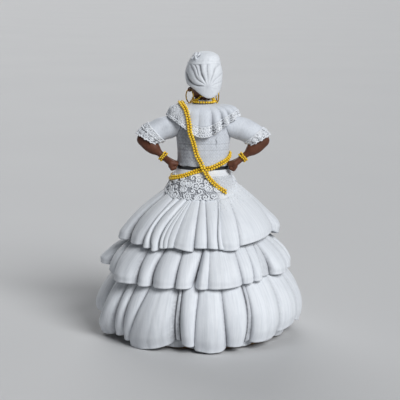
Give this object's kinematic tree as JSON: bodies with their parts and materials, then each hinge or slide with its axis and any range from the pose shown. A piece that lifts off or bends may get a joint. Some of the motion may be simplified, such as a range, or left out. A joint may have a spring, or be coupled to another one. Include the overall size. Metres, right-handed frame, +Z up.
{
  "type": "papier-mache figure of a woman in a tiered dress",
  "caption": "Standing painted figure of a woman in a white tiered dress and turban, fists on hips, with bead strands, swinging hoop earrings and bead bracelets.",
  "frame": {"origin": "middle of the base disc's underside", "axes": "+Z up, the figure faces -Y, the figure's left hand is on +X"},
  "size_m": [0.1489, 0.148, 0.2018],
  "materials": {
    "white_paint": "matt brush-painted papier-mache",
    "lace_relief": "matt painted relief lace",
    "skin_paint": "satin brown paint",
    "black_paint": "satin black paint",
    "yellow_beads": "glossy seed beads",
    "brass_wire": "dull wire",
    "steel_wire": "bare wire",
    "turned_wood": "bare turned wood",
    "rolled_card": "rolled card"
  },
  "bodies": {
    "figure": {"base_disc": "turned_wood", "centre_post": "turned_wood", "skirt_cone": "rolled_card", "petticoat": "white_paint", "lower_flounce": "white_paint", "middle_flounce": "white_paint", "upper_flounce": "white_paint", "hip_yoke": "lace_relief", "waist_belt": "black_paint", "bodice": "white_paint", "shoulder_ruffle": "white_paint", "ruffle_lace": "lace_relief", "collar_frill": "lace_relief", "left_sleeve": "white_paint", "right_sleeve": "white_paint", "left_cuff": "lace_relief", "right_cuff": "lace_relief", "left_arm_wire": "steel_wire", "right_arm_wire": "steel_wire", "left_forearm": "skin_paint", "right_forearm": "skin_paint", "left_hand": "skin_paint", "right_hand": "skin_paint", "neck": "skin_paint", "head": "skin_paint", "left_ear": "skin_paint", "right_ear": "skin_paint", "turban_wrap": "white_paint", "turban_band": "white_paint", "turban_knot": "white_paint", "collar_beads": "yellow_beads", "neck_strand": "yellow_beads", "shoulder_strand": "yellow_beads", "waist_strand": "yellow_beads"},
    "left_hoop": {"left_earring": "brass_wire"},
    "right_hoop": {"right_earring": "brass_wire"},
    "left_wristband": {"left_bracelet": "yellow_beads"},
    "right_wristband": {"right_bracelet": "yellow_beads"}
  },
  "joints": [
    {"name": "left_earring_swing", "type": "hinge", "parent": "figure", "child": "left_hoop", "pos_m": [0.00983, 0.00397, 0.17421], "axis": [0.5592, -0.829, 0], "range_deg": [-3, 60]},
    {"name": "right_earring_swing", "type": "hinge", "parent": "figure", "child": "right_hoop", "pos_m": [-0.00983, -0.00397, 0.17421], "axis": [-0.1736, 0.9848, 0], "range_deg": [-3, 60]},
    {"name": "left_bracelet_turn", "type": "hinge", "parent": "figure", "child": "left_wristband", "pos_m": [0.02827, 0.00598, 0.12665], "axis": [-0.7587, 0.1615, -0.6311], "continuous": true},
    {"name": "right_bracelet_turn", "type": "hinge", "parent": "figure", "child": "right_wristband", "pos_m": [-0.02827, 0.00598, 0.12665], "axis": [0.7587, 0.1615, -0.6311], "continuous": true}
  ]
}
